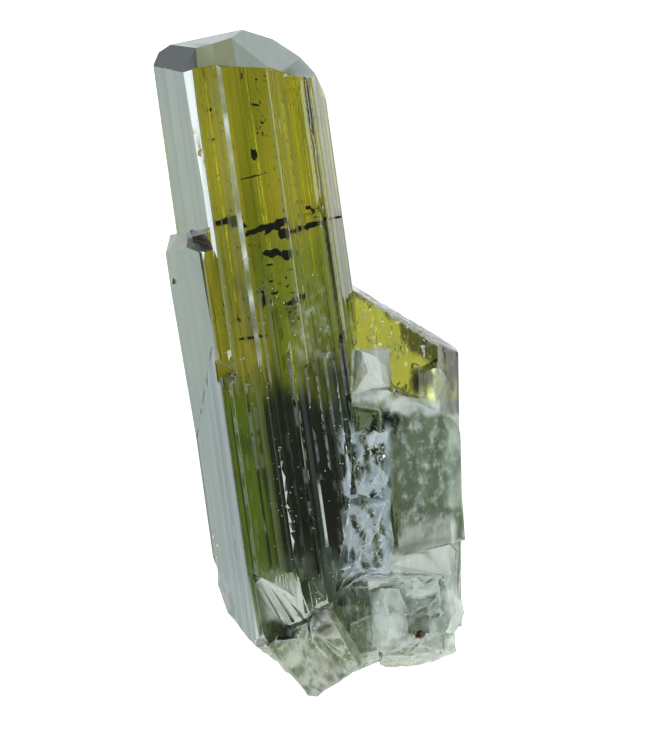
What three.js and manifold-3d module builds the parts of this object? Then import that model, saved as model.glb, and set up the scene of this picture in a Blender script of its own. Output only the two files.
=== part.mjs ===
// An epidote specimen: a stout striated prism with a chisel end, a slant-topped crystal grown on its
// right, a thick plate in front of that one, and a broken, glassy root. It all grew as one piece, and
// one tiny rust-red grain sits in a pit of the root.
//
// Millimetres. The specimen lies on its flat back: +X is its right, +Y runs up the crystals to the
// chisel end, +Z is towards the viewer, and z = 0 is the surface that it rests on.
import * as THREE from "three";
import { ConvexGeometry } from "three/addons/geometries/ConvexGeometry.js";
import { mergeVertices } from "three/addons/utils/BufferGeometryUtils.js";
import Module from "manifold-3d";

const wasm = await Module();
wasm.setup();

// Driving dimensions. A list of two is [left, right] or [lower, upper].
const mainLean = 8; // degrees that the main prism leans to the left of +Y
const mainAxis = [-4.32, 0, 0]; // where the prism's own axes start
const sideLean = 0.8; // degrees that the slant-topped crystal leans
const mainTop = 30.4;
const mainFoot = -27;
const frontHeight = 11.1; // from the resting face to the prism's front
const leftEdge = [-6.05, 4.8]; // across and up, where the prism is widest on its left
const rightEdge = [9.0, 6.8];
const slabStep = 0.85; // how far the lower left growth layer stands out
const sideHeight = 6.6; // front of the slant-topped crystal
const plateHeight = 9.3; // front of the thick plate
const grainPlace = [9.95, -24.55, 7.25];
const grainRadius = 0.42;
const grainGap = 0.06; // between the grain and its pit
const farOff = 120; // half-space cutters reach this far

// A repeatable stream of numbers from 0 to 1.
function stream(seed) {
  let state = seed;
  return () => {
    state = (state * 16807) % 2147483647;
    return state / 2147483647;
  };
}

function solidOf(geometry) {
  const bare = geometry.clone();
  bare.deleteAttribute("normal");
  bare.deleteAttribute("uv");
  const merged = mergeVertices(bare, 1e-4);
  return new wasm.Manifold(
    new wasm.Mesh({
      numProp: 3,
      vertProperties: new Float32Array(merged.attributes.position.array),
      triVerts: new Uint32Array(merged.index.array),
    }),
  );
}

function geometryOf(solid) {
  const mesh = solid.getMesh();
  const geometry = new THREE.BufferGeometry();
  geometry.setAttribute(
    "position",
    new THREE.BufferAttribute(new Float32Array(mesh.vertProperties), 3),
  );
  geometry.setIndex(new THREE.BufferAttribute(new Uint32Array(mesh.triVerts), 1));
  return geometry;
}

function join(first, ...others) {
  return geometryOf(others.reduce((sum, g) => sum.add(solidOf(g)), solidOf(first)));
}

function cut(first, ...tools) {
  return geometryOf(tools.reduce((rest, g) => rest.subtract(solidOf(g)), solidOf(first)));
}

// Everything beyond the plane through a, b and c, on the side that outwards points to.
function beyond(a, b, c, outwards) {
  const plane = new THREE.Plane().setFromCoplanarPoints(
    new THREE.Vector3(...a),
    new THREE.Vector3(...b),
    new THREE.Vector3(...c),
  );
  const normal = plane.normal.clone();
  if (normal.dot(new THREE.Vector3(...outwards)) < 0) normal.negate();
  const block = new THREE.BoxGeometry(farOff, farOff, farOff);
  block.translate(0, 0, farOff / 2);
  block.applyQuaternion(
    new THREE.Quaternion().setFromUnitVectors(new THREE.Vector3(0, 0, 1), normal),
  );
  block.translate(...a);
  return block;
}

// A prism whose section lies across +Y: section points are [across, up].
function prism(section, foot, top) {
  const shape = new THREE.Shape(section.map(([x, z]) => new THREE.Vector2(x, z)));
  const body = new THREE.ExtrudeGeometry(shape, { depth: top - foot, bevelEnabled: false });
  body.rotateX(Math.PI / 2);
  body.translate(0, top, 0);
  return body;
}

// A plate whose outline lies flat, with its rim bevelled inwards.
function plate(outline, low, high, rim) {
  const shape = new THREE.Shape(outline.map(([x, y]) => new THREE.Vector2(x, y)));
  const body = new THREE.ExtrudeGeometry(shape, {
    depth: high - low - 2 * rim,
    bevelEnabled: rim > 0,
    bevelThickness: rim,
    bevelSize: rim,
    bevelOffset: -rim,
    bevelSegments: 1,
  });
  body.translate(0, 0, low + rim);
  return body;
}

function hull(points) {
  return new ConvexGeometry(points.map((p) => new THREE.Vector3(...p)));
}

// Growth lines on one face of a section: a saw edge cut into the line from a to b, without b.
function striated(a, b, count, depth, seed) {
  const random = stream(seed);
  const along = new THREE.Vector2(b[0] - a[0], b[1] - a[1]);
  const inwards = new THREE.Vector2(-along.y, along.x).normalize();
  const points = [a];
  for (let i = 0; i < count; i++) {
    const ridge = (i + 0.35 + 0.3 * random()) / count;
    const valley = (i + 0.8 + 0.15 * random()) / count;
    const bite = depth * (0.3 + 0.7 * random());
    points.push([a[0] + along.x * ridge, a[1] + along.y * ridge]);
    points.push([
      a[0] + along.x * valley + inwards.x * bite,
      a[1] + along.y * valley + inwards.y * bite,
    ]);
  }
  return points;
}

// A flat face crossed by narrow grooves: the line from a to b with notches, without b.
function grooved(a, b, count, depth, seed) {
  const random = stream(seed);
  const along = new THREE.Vector2(b[0] - a[0], b[1] - a[1]);
  const inwards = new THREE.Vector2(-along.y, along.x).normalize();
  const on = (t, bite) => [a[0] + along.x * t + inwards.x * bite, a[1] + along.y * t + inwards.y * bite];
  const points = [a];
  for (let i = 0; i < count; i++) {
    const lip = (i + 0.3 + 0.4 * random()) / count;
    const wide = (0.08 + 0.16 * random()) / count;
    points.push(on(lip, 0), on(lip + wide, depth * (0.5 + 0.5 * random())), on(lip + 1.8 * wide, 0));
  }
  return points;
}

// A block whose faces are broken into many small ones.
function hackly([left, right], [foot, top], [low, high], cells, rough, seed) {
  const random = stream(seed);
  const size = [right - left, top - foot, high - low];
  const block = new THREE.BoxGeometry(...size, ...cells);
  block.deleteAttribute("normal");
  block.deleteAttribute("uv");
  const merged = mergeVertices(block, 1e-4);
  const place = merged.attributes.position;
  for (let i = 0; i < place.count; i++) {
    for (let k = 0; k < 3; k++) {
      const at = place.getComponent(i, k);
      const onFace = Math.abs(at) > size[k] / 2 - 1e-3;
      const sunk = -Math.sign(at) * rough * random();
      const slid = (size[k] / cells[k]) * 0.6 * (random() - 0.5);
      place.setComponent(i, k, at + (onFace ? sunk : slid));
    }
  }
  merged.translate((left + right) / 2, (foot + top) / 2, (low + high) / 2);
  return merged;
}

// A sharp splinter: a small skewed bipyramid.
function splinter([x, y, z], length, width, turn, lean) {
  const body = new THREE.OctahedronGeometry(1, 0);
  body.scale(width, length, width * 0.8);
  body.rotateZ(turn);
  body.rotateX(lean);
  body.translate(x, y, z);
  return body;
}

// Many splinters strewn over a strip from [x, y, z] to [x, y, z], fused to what they stand on.
function crumble(from, to, spread, count, size, seed) {
  const random = stream(seed);
  const grains = [];
  for (let i = 0; i < count; i++) {
    const t = (i + random()) / count;
    const place = from.map((v, k) => v + (to[k] - v) * t + spread[k] * (random() - 0.5));
    const length = size * (0.9 + 1.1 * random());
    const lean = 0.7 + 0.7 * random();
    grains.push(splinter(place, length, length * (0.4 + 0.3 * random()), 1.2 * (random() - 0.5), lean));
  }
  return grains;
}

// The main prism, in its own axes: [across, along, up].
function mainPrism() {
  const front = frontHeight;
  const section = [
    ...grooved([-4.6, 0], [7.9, 0], 9, 0.16, 2),
    ...striated([7.9, 0], [9.0, 3.0], 2, 0.06, 3),
    [9.0, 3.0],
    ...striated([9.0, 3.0], rightEdge, 4, 0.08, 5).slice(1),
    ...striated(rightEdge, [7.95, front - 1.0], 3, 0.1, 7),
    [7.95, front - 1.0],
    [7.75, front - 0.95],
    [7.55, front - 0.45],
    [7.3, front - 0.75],
    [7.05, front - 0.35],
    ...striated([6.7, front - 0.22], [4.1, front + 0.12], 5, 0.1, 11),
    ...striated([4.1, front + 0.2], [0.05, front + 0.3], 3, 0.05, 13),
    [0.05, front + 0.3],
    [-0.35, front - 0.05],
    [-0.75, front + 0.1],
    ...striated([-0.75, front + 0.1], [-2.6, front + 0.1], 3, 0.06, 17).slice(1),
    [-2.6, front + 0.1],
    [-3.05, front - 0.25],
    ...striated([-3.05, front - 0.25], leftEdge, 6, 0.07, 19).slice(1),
    leftEdge,
    ...striated(leftEdge, [-4.6, 0], 3, 0.07, 23).slice(1),
  ];
  return prism(section, mainFoot, mainTop);
}

// The chisel end. In front: a sliver along the top, a left face, two middle ones and a large right one.
function chiselCuts() {
  const leftTop = [-4.38, 29.61, 4.6];
  const peak = [2.49, 30.01, 5.1];
  const innerLeft = [-1.95, 28.81, 8.87];
  const innerMiddle = [-0.38, 28.96, 8.6];
  const innerRight = [1.38, 29.25, 7.76];
  const shoulder = [5.0, 28.85, 4.82];
  const rightTop = [7.22, 26.8, 6.56];
  return [
    beyond(leftTop, innerMiddle, peak, [0, 1, 0.3]),
    beyond(innerLeft, [-5.65, 27.7, 5.6], [-2.78, 26.75, 10.85], [-1, 1, 1]),
    beyond(innerLeft, innerMiddle, [-0.42, 26.78, 11.2], [0, 1, 1]),
    beyond(innerMiddle, innerRight, [1.74, 26.57, 11.15], [0, 1, 1]),
    beyond(innerRight, [3.71, 26.38, 11.05], [6.94, 24.84, 10.7], [1, 1, 1]),
    beyond([-4.38, 29.61, 4.5], [2.49, 30.01, 4.5], [0, 28.2, 0], [0, 1, -1]),
    beyond([-5.45, 29.12, 3.8], leftTop, [-4.6, 28.4, 0], [-1, 1, -1]),
    beyond([-6.05, 28.12, 5], [-5.45, 29.12, 4], [-5.4, 27.9, 0], [-1, 1, 0]),
    beyond(peak, shoulder, [3.2, 28.0, 0], [1, 1, -1]),
    beyond(shoulder, rightTop, [5.6, 26.4, 0], [1, 1, -1]),
    beyond(rightTop, [9.05, 22.99, 6.8], [7.9, 23.5, 0], [1, 0.4, -0.3]),
  ];
}

// The long bevel that glints down the left front edge, wider at the top.
function edgeBevel() {
  return beyond([-3.5, 26.9, 10.0], [-2.45, 26.9, 11.25], [-3.0, 14.4, 10.95], [-1, 0, 1]);
}

// The growth layer that widens the prism below the step in its left side.
function leftSlab() {
  const out = leftEdge[0] - slabStep;
  const front = frontHeight;
  const section = [
    [-5.3, 0],
    [-4.5, 0],
    [-1.0, 1.5],
    [-1.0, front - 0.3],
    [-3.7, front - 0.1],
    [-3.95, front - 0.35],
    ...striated([-3.95, front - 0.35], [out, 4.4], 5, 0.08, 29).slice(1),
    [out, 4.4],
  ];
  const shoulder = hull([
    [-7.33, 12.6, 4.5],
    [-7.3, 7.6, 4.5],
    [out, -6.0, 4.4],
    [-4.25, 12.6, front - 0.4],
    [-4.15, 7.6, front - 0.4],
    [-3.95, 3.0, front - 0.4],
    [-5.6, 12.6, 0],
    [-5.3, -3.0, 0],
    [-3.0, 12.6, 1],
    [-3.0, -3.0, 1],
  ]);
  const topFace = beyond([-7.32, 11.0, 4.5], [-6.05, 12.45, 4.6], [-4.1, 11.2, front], [-1, 1, 0]);
  return cut(join(prism(section, mainFoot, 12.6), shoulder), topFace);
}

// Raised growth ribs on the front, each broken off at a slant above.
function frontRibs() {
  const root = frontHeight - 0.5;
  const ribs = [
    { across: [0.35, 1.55], along: [-20, 6.9], rise: 0.62, slant: 1.1 },
    { across: [-1.9, -0.9], along: [-21, -1.6], rise: 0.28, slant: -0.7 },
    { across: [2.2, 2.75], along: [-21, 1.2], rise: 0.42, slant: 1.2 },
    { across: [3.6, 4.9], along: [-23, -0.6], rise: 0.5, slant: 0.9 },
    { across: [5.4, 6.6], along: [-23, -0.2], rise: 0.45, slant: -0.8 },
    { across: [6.9, 7.6], along: [-22, 0.8], rise: 0.25, slant: 0.9 },
    { across: [3.35, 5.2], along: [-17.2, -11.1], rise: 0.95, slant: 0.45 },
    { across: [-3.3, -2.3], along: [-19, 0.4], rise: 0.2, slant: 0.6 },
  ];
  return ribs.map(({ across: [left, right], along: [foot, top], rise, slant }) => {
    const crest = frontHeight + rise;
    const section = [
      [left, root],
      [right, root],
      [right - 0.12, crest - 0.06],
      [right - 0.45, crest - 0.12],
      [left + 0.32, crest],
      [left + 0.08, crest - 0.1],
    ];
    const middle = (left + right) / 2;
    const end = beyond(
      [left, top - Math.max(slant, 0), crest],
      [right, top + Math.min(slant, 0), crest],
      [middle, top + 0.6, root],
      [0, 1, 0.3],
    );
    return cut(prism(section, foot, top + 1), end);
  });
}

// Chips broken out of the prism's edges.
function chips() {
  const front = frontHeight;
  return [
    hull([
      [-5.2, 12.1, 7.4],
      [-3.4, 12.75, front + 0.6],
      [-2.6, 10.3, front + 0.6],
      [-4.3, 10.3, front + 0.2],
      [-3.6, 11.3, front - 2.0],
      [-5.6, 11.2, 8.4],
    ]),
    hull([
      [-4.6, 1.2, front - 0.6],
      [-3.4, 0.9, front + 0.6],
      [-2.0, -0.8, front + 0.6],
      [-2.6, -1.6, front + 0.6],
      [-3.2, -0.4, front - 1.2],
      [-4.4, -1.4, front - 0.8],
    ]),
    hull([
      [1.2, 7.6, front + 0.9],
      [2.1, 6.2, front + 0.9],
      [2.0, 4.6, front + 0.9],
      [1.5, 5.2, front - 0.1],
      [1.1, 6.6, front + 0.3],
    ]),
    hull([
      [6.2, 13.2, front + 0.4],
      [7.4, 13.6, front + 0.4],
      [7.8, 12.4, front + 0.2],
      [6.8, 12.0, front + 0.4],
      [7.0, 12.9, front - 1.0],
    ]),
    hull([
      [-3.5, 20.2, front + 0.3],
      [-2.3, 19.6, front + 0.3],
      [-2.6, 18.6, front + 0.3],
      [-3.4, 18.9, front - 0.5],
      [-2.9, 19.4, front - 0.4],
    ]),
    hull([
      [-1.0, 9.4, front + 0.5],
      [0.4, 9.6, front + 0.5],
      [0.3, 8.9, front + 0.5],
      [-0.3, 9.2, front - 0.1],
    ]),
  ];
}

// Where the prism's lower end has broken away, and where its neighbours hem it in on the right.
function footCuts() {
  const front = frontHeight;
  const scar = hull([
    [-3.95, -17.4, 13.0],
    [1.5, -23.0, 13.0],
    [2.0, -28.0, 13.0],
    [-3.35, -27.0, 13.0],
    [-3.3, -18.9, front - 0.6],
    [-2.3, -21.0, 9.6],
    [-1.4, -23.4, 8.2],
    [0.8, -24.0, 8.6],
    [-2.5, -26.5, 7.4],
    [1.0, -27.0, 7.4],
  ]);
  return [
    beyond([-6.85, -17.2, 5], [-5.3, -23.2, 5], [-6.6, -17.2, 0], [-1, 0, 0]),
    beyond([-5.3, -23.2, 5], [-3.4, -25.9, 5], [-5.0, -23.2, 0], [-1, -1, 0]),
    beyond([1.35, -22.8, front], [3.6, -22.1, front], [2.4, -25.4, 5.0], [0, -1, 1]),
    beyond([9.0, 0.9, 5], [6.2, -13.4, front], [9.6, 0.9, 0], [1, 0, 0]),
    beyond([6.2, -13.4, front], [3.65, -21.2, front], [7.0, -13.4, 0], [1, 0, 0]),
    scar,
  ];
}

function placeOnMainAxis(geometry) {
  const placed = geometry.clone();
  placed.rotateZ(THREE.MathUtils.degToRad(mainLean));
  placed.translate(...mainAxis);
  return placed;
}

function mainCrystal() {
  const body = cut(mainPrism(), ...chiselCuts(), edgeBevel());
  const grown = join(body, leftSlab(), ...frontRibs());
  return placeOnMainAxis(cut(grown, ...chips(), ...footCuts()));
}

// The slant-topped crystal behind on the right.
function sideCrystal() {
  const section = [
    [1.5, 0.6],
    [12.5, 0.6],
    [13.4, 1.7],
    ...striated([13.4, 1.7], [13.45, 3.4], 2, 0.07, 31).slice(1),
    ...striated([13.45, 3.4], [11.55, sideHeight - 0.1], 7, 0.12, 37),
    [11.5, sideHeight],
    ...striated([11.5, sideHeight], [1.5, sideHeight + 0.2], 4, 0.06, 41).slice(1),
    [1.5, sideHeight + 0.2],
  ];
  const slant = beyond([4.2, 7.1, 0], [13.4, 1.35, 0], [4.0, 6.6, sideHeight], [0.5, 1, 0]);
  const lip = beyond([4.2, 6.6, sideHeight], [13.4, 0.85, 3.6], [4.1, 6.95, sideHeight - 1.2], [0.5, 1, 1]);
  const crystal = cut(prism(section, -24, 9), slant, lip);
  crystal.translate(-13.4, -1.35, 0);
  crystal.rotateZ(THREE.MathUtils.degToRad(sideLean));
  crystal.translate(13.4, 1.35, 0);
  return crystal;
}

// Etch pits and lumps on the slant-topped crystal's hidden back.
function backLumps() {
  const random = stream(43);
  const lumps = [];
  for (let i = 0; i < 26; i++) {
    const place = [5.2 + 6.4 * random(), 3.6 - 8.5 * random(), 0.62 + 0.1 * random()];
    if (place[1] > 4.6 - 0.6 * (place[0] - 4.2)) continue;
    lumps.push(splinter(place, 0.5 + 0.4 * random(), 0.3 + 0.15 * random(), 3 * random(), 0));
  }
  return lumps;
}

// The thick plate in front, with its rounded upper right corner.
function frontPlate() {
  const corner = new THREE.EllipseCurve(11.7, -6.9, 1.85, 2.2, Math.PI / 2.4, 0, true).getPoints(6);
  const outline = [
    [2.5, -20.7],
    [3.7, -19.7],
    [6.75, -18.9],
    [9.0, -17.45],
    [10.8, -16.75],
    [13.95, -16.0],
    [13.65, -11.6],
    ...corner.reverse().map((p) => [p.x, p.y]),
    [10.9, -4.15],
    [8.4, -3.1],
    [7.0, -2.5],
    [3.6, -2.4],
  ];
  const tilt = beyond([4, -2, plateHeight + 0.1], [13.5, -5, 8.7], [13.5, -16, 9.0], [0, 0, 1]);
  const cleft = hull([
    [6.9, -8.6, 12],
    [7.3, -18.0, 12],
    [8.3, -18.0, 12],
    [8.1, -9.0, 12],
    [7.4, -13.0, plateHeight - 1.2],
    [7.7, -16.0, plateHeight - 1.4],
  ]);
  const recess = hull([
    [3.4, -3.4, 12],
    [6.6, -3.6, 12],
    [6.9, -9.0, 12],
    [3.4, -9.4, 12],
    [4.2, -4.4, plateHeight - 1.5],
    [6.0, -4.8, plateHeight - 1.3],
    [6.0, -8.2, plateHeight - 0.9],
    [4.2, -8.6, plateHeight - 1.3],
  ]);
  const brokenRim = hull([
    [8.3, -13.8, 9.25],
    [12.5, -13.4, 9.0],
    [8.3, -17.8, 8.1],
    [12.8, -17.0, 8.0],
    [8.3, -13.8, 12],
    [12.5, -13.4, 12],
    [8.3, -17.8, 12],
    [12.8, -17.0, 12],
  ]);
  return cut(plate(outline, 1.2, plateHeight, 0.55), tilt, cleft, recess, brokenRim);
}

// Small crystals and chunks that stand on the plate and the side crystal.
function upperChunks() {
  const tabSection = [
    [9.8, 5.5],
    [12.35, 5.5],
    [12.35, 7.5],
    [11.4, 8.7],
    [9.8, 7.7],
  ];
  const tab = cut(
    prism(tabSection, -5.2, 0.6),
    beyond([9.8, -1.1, 8], [11.4, -0.5, 8.7], [10, -0.2, 6], [0, 1, 0]),
    beyond([11.4, -0.5, 8.7], [12.4, -1.5, 7], [12.0, -0.6, 5], [1, 1, 0]),
  );
  const chunk = hull([
    [3.8, 1.3, 6.0],
    [4.6, 0.95, 9.4],
    [5.9, 0.55, 8.7],
    [7.0, -0.45, 7.0],
    [7.4, -2.4, 7.2],
    [6.7, -2.0, 9.6],
    [5.2, -0.9, 10.4],
    [3.8, -2.9, 9.4],
    [6.9, -3.1, 6.0],
    [3.8, -3.0, 6.0],
  ]);
  const ledge = hull([
    [6.8, -1.6, 6.2],
    [7.6, -2.9, 9.1],
    [10.6, -4.6, 8.9],
    [10.9, -3.7, 6.2],
    [7.4, -2.2, 8.3],
    [10.4, -3.5, 7.8],
    [7.0, -4.4, 6.2],
    [11.0, -5.2, 6.2],
  ]);
  return [tab, chunk, ledge];
}

// The glassy ridge of crumbled crystal between the prism and the plate.
function crumbledRidge() {
  const upper = hackly([3.4, 7.0], [-12.6, -5.8], [5, 10.7], [5, 7, 2], 0.7, 43);
  const lower = hackly([2.6, 6.9], [-19.0, -12.2], [5, 10.5], [5, 7, 2], 0.8, 47);
  const grains = crumble([5.6, -6.9, 9.4], [4.9, -18.2, 9.2], [2.0, 0.5, 0.4], 30, 0.6, 53);
  return [upper, lower, ...grains];
}

// The pale ledge that slopes out below the plate.
function rootShelf() {
  const ledge = hull([
    [2.7, -20.8, 8.6],
    [3.8, -19.6, 9.3],
    [5.4, -18.9, 9.3],
    [7.4, -18.2, 9.2],
    [8.4, -17.4, 9.1],
    [10.8, -16.8, 9.0],
    [12.5, -16.4, 8.9],
    [13.1, -17.0, 8.2],
    [12.8, -19.2, 7.2],
    [8.1, -19.8, 7.6],
    [5.6, -20.4, 8.0],
    [3.6, -20.8, 8.4],
    [3.0, -20.6, 3.0],
    [12.6, -19.2, 3.0],
    [12.6, -16.8, 3.0],
    [4.5, -18.8, 3.0],
  ]);
  const recess = hull([
    [2.3, -20.6, 10],
    [5.5, -20.6, 10],
    [5.4, -22.3, 10],
    [3.9, -23.0, 10],
    [2.5, -22.4, 10],
    [2.9, -20.0, 6.0],
    [5.0, -20.0, 6.0],
    [4.7, -21.9, 6.0],
    [3.2, -22.2, 6.2],
  ]);
  return { ledge, recess };
}

// Thin blades that stand in the recess under the ledge.
function recessBlades() {
  return [3.5, 4.15, 4.8].map((x, i) =>
    hull([
      [x - 0.14, -20.2, 5.6],
      [x + 0.14, -20.2, 5.6],
      [x - 0.05, -20.3, 7.9 - 0.2 * i],
      [x + 0.1, -20.3, 7.9 - 0.2 * i],
      [x, -22.3, 5.6],
      [x + 0.22, -22.3, 5.6],
      [x + 0.12, -22.1, 7.0 + 0.15 * i],
    ]),
  );
}

// The glassy lobes of the broken root.
function rootLobes() {
  const heart = hackly([2.4, 12.4], [-26.2, -15.8], [0.35, 7.0], [5, 5, 3], 0.6, 59);
  const crumbs = hackly([6.8, 12.3], [-23.4, -19.0], [4.0, 7.9], [7, 6, 1], 0.9, 61);
  const frontLobe = hull([
    [5.5, -20.8, 7.6],
    [6.4, -20.3, 8.5],
    [8.0, -20.4, 8.7],
    [8.7, -22.0, 8.8],
    [8.9, -24.6, 8.2],
    [8.2, -26.0, 7.4],
    [6.6, -26.4, 7.0],
    [5.6, -25.6, 7.2],
    [5.5, -22.4, 8.2],
    [7.2, -22.8, 9.3],
    [7.0, -25.0, 8.5],
    [5.6, -21.0, 4.0],
    [8.8, -25.5, 4.0],
    [8.4, -20.6, 4.0],
    [6.0, -26.0, 4.0],
  ]);
  const rightLobe = hull([
    [12.0, -20.0, 1.0],
    [13.5, -20.8, 2.6],
    [13.95, -21.8, 3.4],
    [14.05, -22.8, 3.6],
    [13.75, -23.6, 3.4],
    [13.2, -24.7, 3.2],
    [12.4, -20.6, 6.2],
    [12.9, -22.6, 6.3],
    [12.2, -24.6, 6.6],
    [10.6, -22.4, 7.3],
    [10.8, -24.8, 7.2],
    [11.0, -24.8, 0.8],
    [10.0, -20.0, 1.0],
  ]);
  const lowerBand = hull([
    [13.2, -24.6, 3.4],
    [13.4, -26.2, 3.0],
    [13.15, -26.5, 2.8],
    [11.2, -27.3, 3.0],
    [8.8, -27.75, 3.2],
    [6.9, -27.8, 3.2],
    [6.3, -27.5, 3.2],
    [12.6, -25.0, 6.2],
    [12.3, -26.0, 5.9],
    [8.8, -26.6, 6.4],
    [6.6, -26.6, 6.2],
    [6.2, -24.6, 7.2],
    [10.6, -24.4, 7.2],
    [12.0, -24.6, 0.7],
    [11.5, -26.2, 0.9],
    [7.0, -26.9, 1.0],
    [6.2, -24.8, 0.5],
  ]);
  const neck = hull([
    [3.4, -28.4, 3.6],
    [4.7, -27.7, 3.4],
    [5.7, -27.3, 3.2],
    [6.4, -27.2, 3.2],
    [3.6, -26.6, 6.9],
    [6.2, -26.0, 6.7],
    [3.6, -23.6, 7.2],
    [5.8, -22.6, 7.0],
    [3.5, -25.0, 0.6],
    [6.0, -25.0, 0.6],
    [3.2, -27.0, 1.6],
    [5.8, -22.6, 2.0],
  ]);
  const crust = crumble([7.2, -19.9, 7.2], [12.0, -19.7, 6.9], [0.8, 1.2, 0.4], 18, 0.6, 67);
  return [heart, crumbs, frontLobe, rightLobe, lowerBand, neck, ...crust];
}

// The slanting crystal whose broken corner is the specimen's lowest tip.
function tipCrystal() {
  const outline = [
    [0.45, -21.4],
    [1.53, -21.25],
    [2.7, -23.2],
    [3.8, -24.75],
    [4.4, -26.0],
    [4.7, -27.5],
    [2.7, -28.8],
    [1.35, -29.6],
    [0.7, -30.2],
    [-0.2, -30.1],
    [-0.9, -29.1],
    [-1.8, -28.1],
    [-2.25, -27.9],
    [-3.3, -26.4],
    [-3.9, -25.6],
    [-3.0, -24.6],
    [-1.0, -24.4],
    [0.2, -23.3],
  ];
  const frontFace = beyond([0.45, -21.4, 10.9], [4.4, -26.0, 8.6], [0.3, -30.2, 7.4], [0, 0, 1]);
  const rightFace = beyond([1.0, -21.4, 10.8], [3.6, -26.0, 8.7], [4.6, -25.6, 7.0], [1, 0, 1]);
  const backFace = beyond([-3, -25, 0.8], [3, -25, 0.4], [0.4, -30.2, 4.4], [0, -1, -1]);
  const dent = hull([
    [-3.3, -24.2, 11],
    [-1.2, -23.6, 11],
    [-1.0, -25.0, 11],
    [-3.2, -25.2, 11],
    [-2.4, -24.4, 7.2],
    [-1.4, -24.4, 7.0],
  ]);
  const body = cut(plate(outline, 0, 11.4, 0.3), frontFace, rightFace, backFace, dent);
  const shards = [
    hull([
      [-1.8, -24.4, 7.6],
      [-1.2, -23.7, 9.9],
      [-0.2, -23.3, 10.3],
      [0.2, -24.6, 9.8],
      [-0.4, -25.4, 9.6],
      [-1.6, -25.0, 8.9],
      [-0.4, -24.4, 6.5],
      [-0.2, -24.0, 10.7],
    ]),
    hull([
      [-0.5, -22.9, 7.5],
      [0.3, -22.4, 10.6],
      [0.9, -23.4, 10.6],
      [0.2, -25.3, 9.9],
      [0.0, -23.6, 11.0],
      [0.9, -24.4, 8.0],
    ]),
  ];
  const glints = crumble([-1.2, -26.2, 8.0], [2.4, -26.6, 7.8], [0.8, 1.6, 0.4], 9, 0.6, 71);
  return [body, ...shards, ...glints];
}

// Broken wedges and flakes round the prism's foot.
function footWedges() {
  const shell = hull([
    [-5.45, -19.2, 10.6],
    [-4.3, -19.3, 11.5],
    [-2.9, -19.9, 11.5],
    [-1.8, -20.7, 11.45],
    [-0.6, -21.7, 11.2],
    [0.2, -22.6, 10.8],
    [-0.9, -23.3, 10.5],
    [-1.8, -23.6, 10.3],
    [-2.5, -23.4, 10.2],
    [-3.8, -21.7, 10.4],
    [-5.0, -20.5, 9.9],
    [-4.8, -20.2, 7.0],
    [0.0, -22.6, 7.0],
    [-2.2, -22.4, 7.0],
    [-2.0, -20.4, 7.0],
  ]);
  const grooves = [0, 1, 2].map((i) =>
    hull([
      [-4.9 + i * 1.1, -19.2 - i * 0.5, 12.8],
      [-4.4 + i * 1.1, -19.2 - i * 0.5, 12.8],
      [-2.7 + i * 1.0, -23.6 + i * 0.1, 12.8],
      [-1.7 + i * 1.0, -23.6 + i * 0.1, 12.8],
      [-4.5 + i * 1.1, -19.9 - i * 0.45, 11.1 - i * 0.05],
      [-3.0 + i * 1.05, -22.3 - i * 0.05, 10.0 + i * 0.15],
      [-2.5 + i * 0.95, -23.5 + i * 0.2, 9.7 + i * 0.15],
    ]),
  );
  const sliver = hull([
    [-5.4, -18.9, 10.3],
    [-5.1, -19.6, 10.7],
    [-4.6, -22.6, 9.6],
    [-3.75, -25.6, 8.2],
    [-4.35, -26.0, 7.4],
    [-5.4, -19.4, 6.0],
    [-4.4, -25.8, 4.0],
    [-3.2, -25.4, 6.0],
    [-3.9, -20.6, 6.5],
    [-3.6, -22.8, 8.8],
  ]);
  const leftFlake = hull([
    [-8.4, -18.0, 3.4],
    [-8.4, -20.2, 3.0],
    [-7.5, -22.8, 2.6],
    [-6.4, -24.0, 2.6],
    [-5.1, -25.6, 2.8],
    [-5.0, -24.6, 5.4],
    [-7.4, -18.4, 5.2],
    [-6.0, -18.0, 0.5],
    [-4.0, -25.4, 0.5],
    [-7.2, -22.4, 0.9],
    [-7.9, -18.4, 1.2],
    [-3.6, -20, 3],
  ]);
  const floor = hull([
    [-6.2, -20.0, 0.4],
    [-4.2, -25.6, 0.6],
    [4.0, -26.6, 0.6],
    [4.0, -18.0, 0.4],
    [-5.6, -20.0, 7.0],
    [-3.9, -25.2, 6.0],
    [3.8, -25.6, 6.2],
    [3.8, -18.0, 6.0],
  ]);
  return [cut(shell, ...grooves), sliver, leftFlake, floor];
}

// The rust-red grain, and the same shape grown by a gap, which is its pit.
function grainShape(radius) {
  const body = new THREE.DodecahedronGeometry(radius, 0);
  body.scale(1.15, 0.95, 1.0);
  body.rotateZ(0.4);
  body.translate(...grainPlace);
  return body;
}

// The pit opens upwards from round the grain.
function pitMouth() {
  const mouth = new THREE.CylinderGeometry(grainRadius * 2.4, grainRadius * 1.25, 2, 7);
  mouth.rotateX(Math.PI / 2);
  mouth.translate(grainPlace[0], grainPlace[1], grainPlace[2] + 1);
  return mouth;
}

function specimen() {
  const { ledge, recess } = rootShelf();
  const root = cut(join(ledge, ...rootLobes()), recess);
  const grown = join(
    mainCrystal(),
    sideCrystal(),
    frontPlate(),
    root,
    ...upperChunks(),
    ...crumbledRidge(),
    ...recessBlades(),
    ...tipCrystal(),
    ...footWedges(),
    ...backLumps(),
  );
  return cut(grown, grainShape(grainRadius + grainGap), pitMouth(), beneath());
}

// All that lies under the resting face.
function beneath() {
  return beyond([0, 0, 0], [1, 0, 0], [0, 1, 0], [0, 0, -1]);
}

const epidoteGlass = new THREE.MeshPhysicalMaterial({
  color: 0x7d8430,
  roughness: 0.12,
  metalness: 0,
  transmission: 0.6,
  ior: 1.74,
});
const rustGrain = new THREE.MeshStandardMaterial({ color: 0x5a1d10, roughness: 0.35, metalness: 0 });

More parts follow.
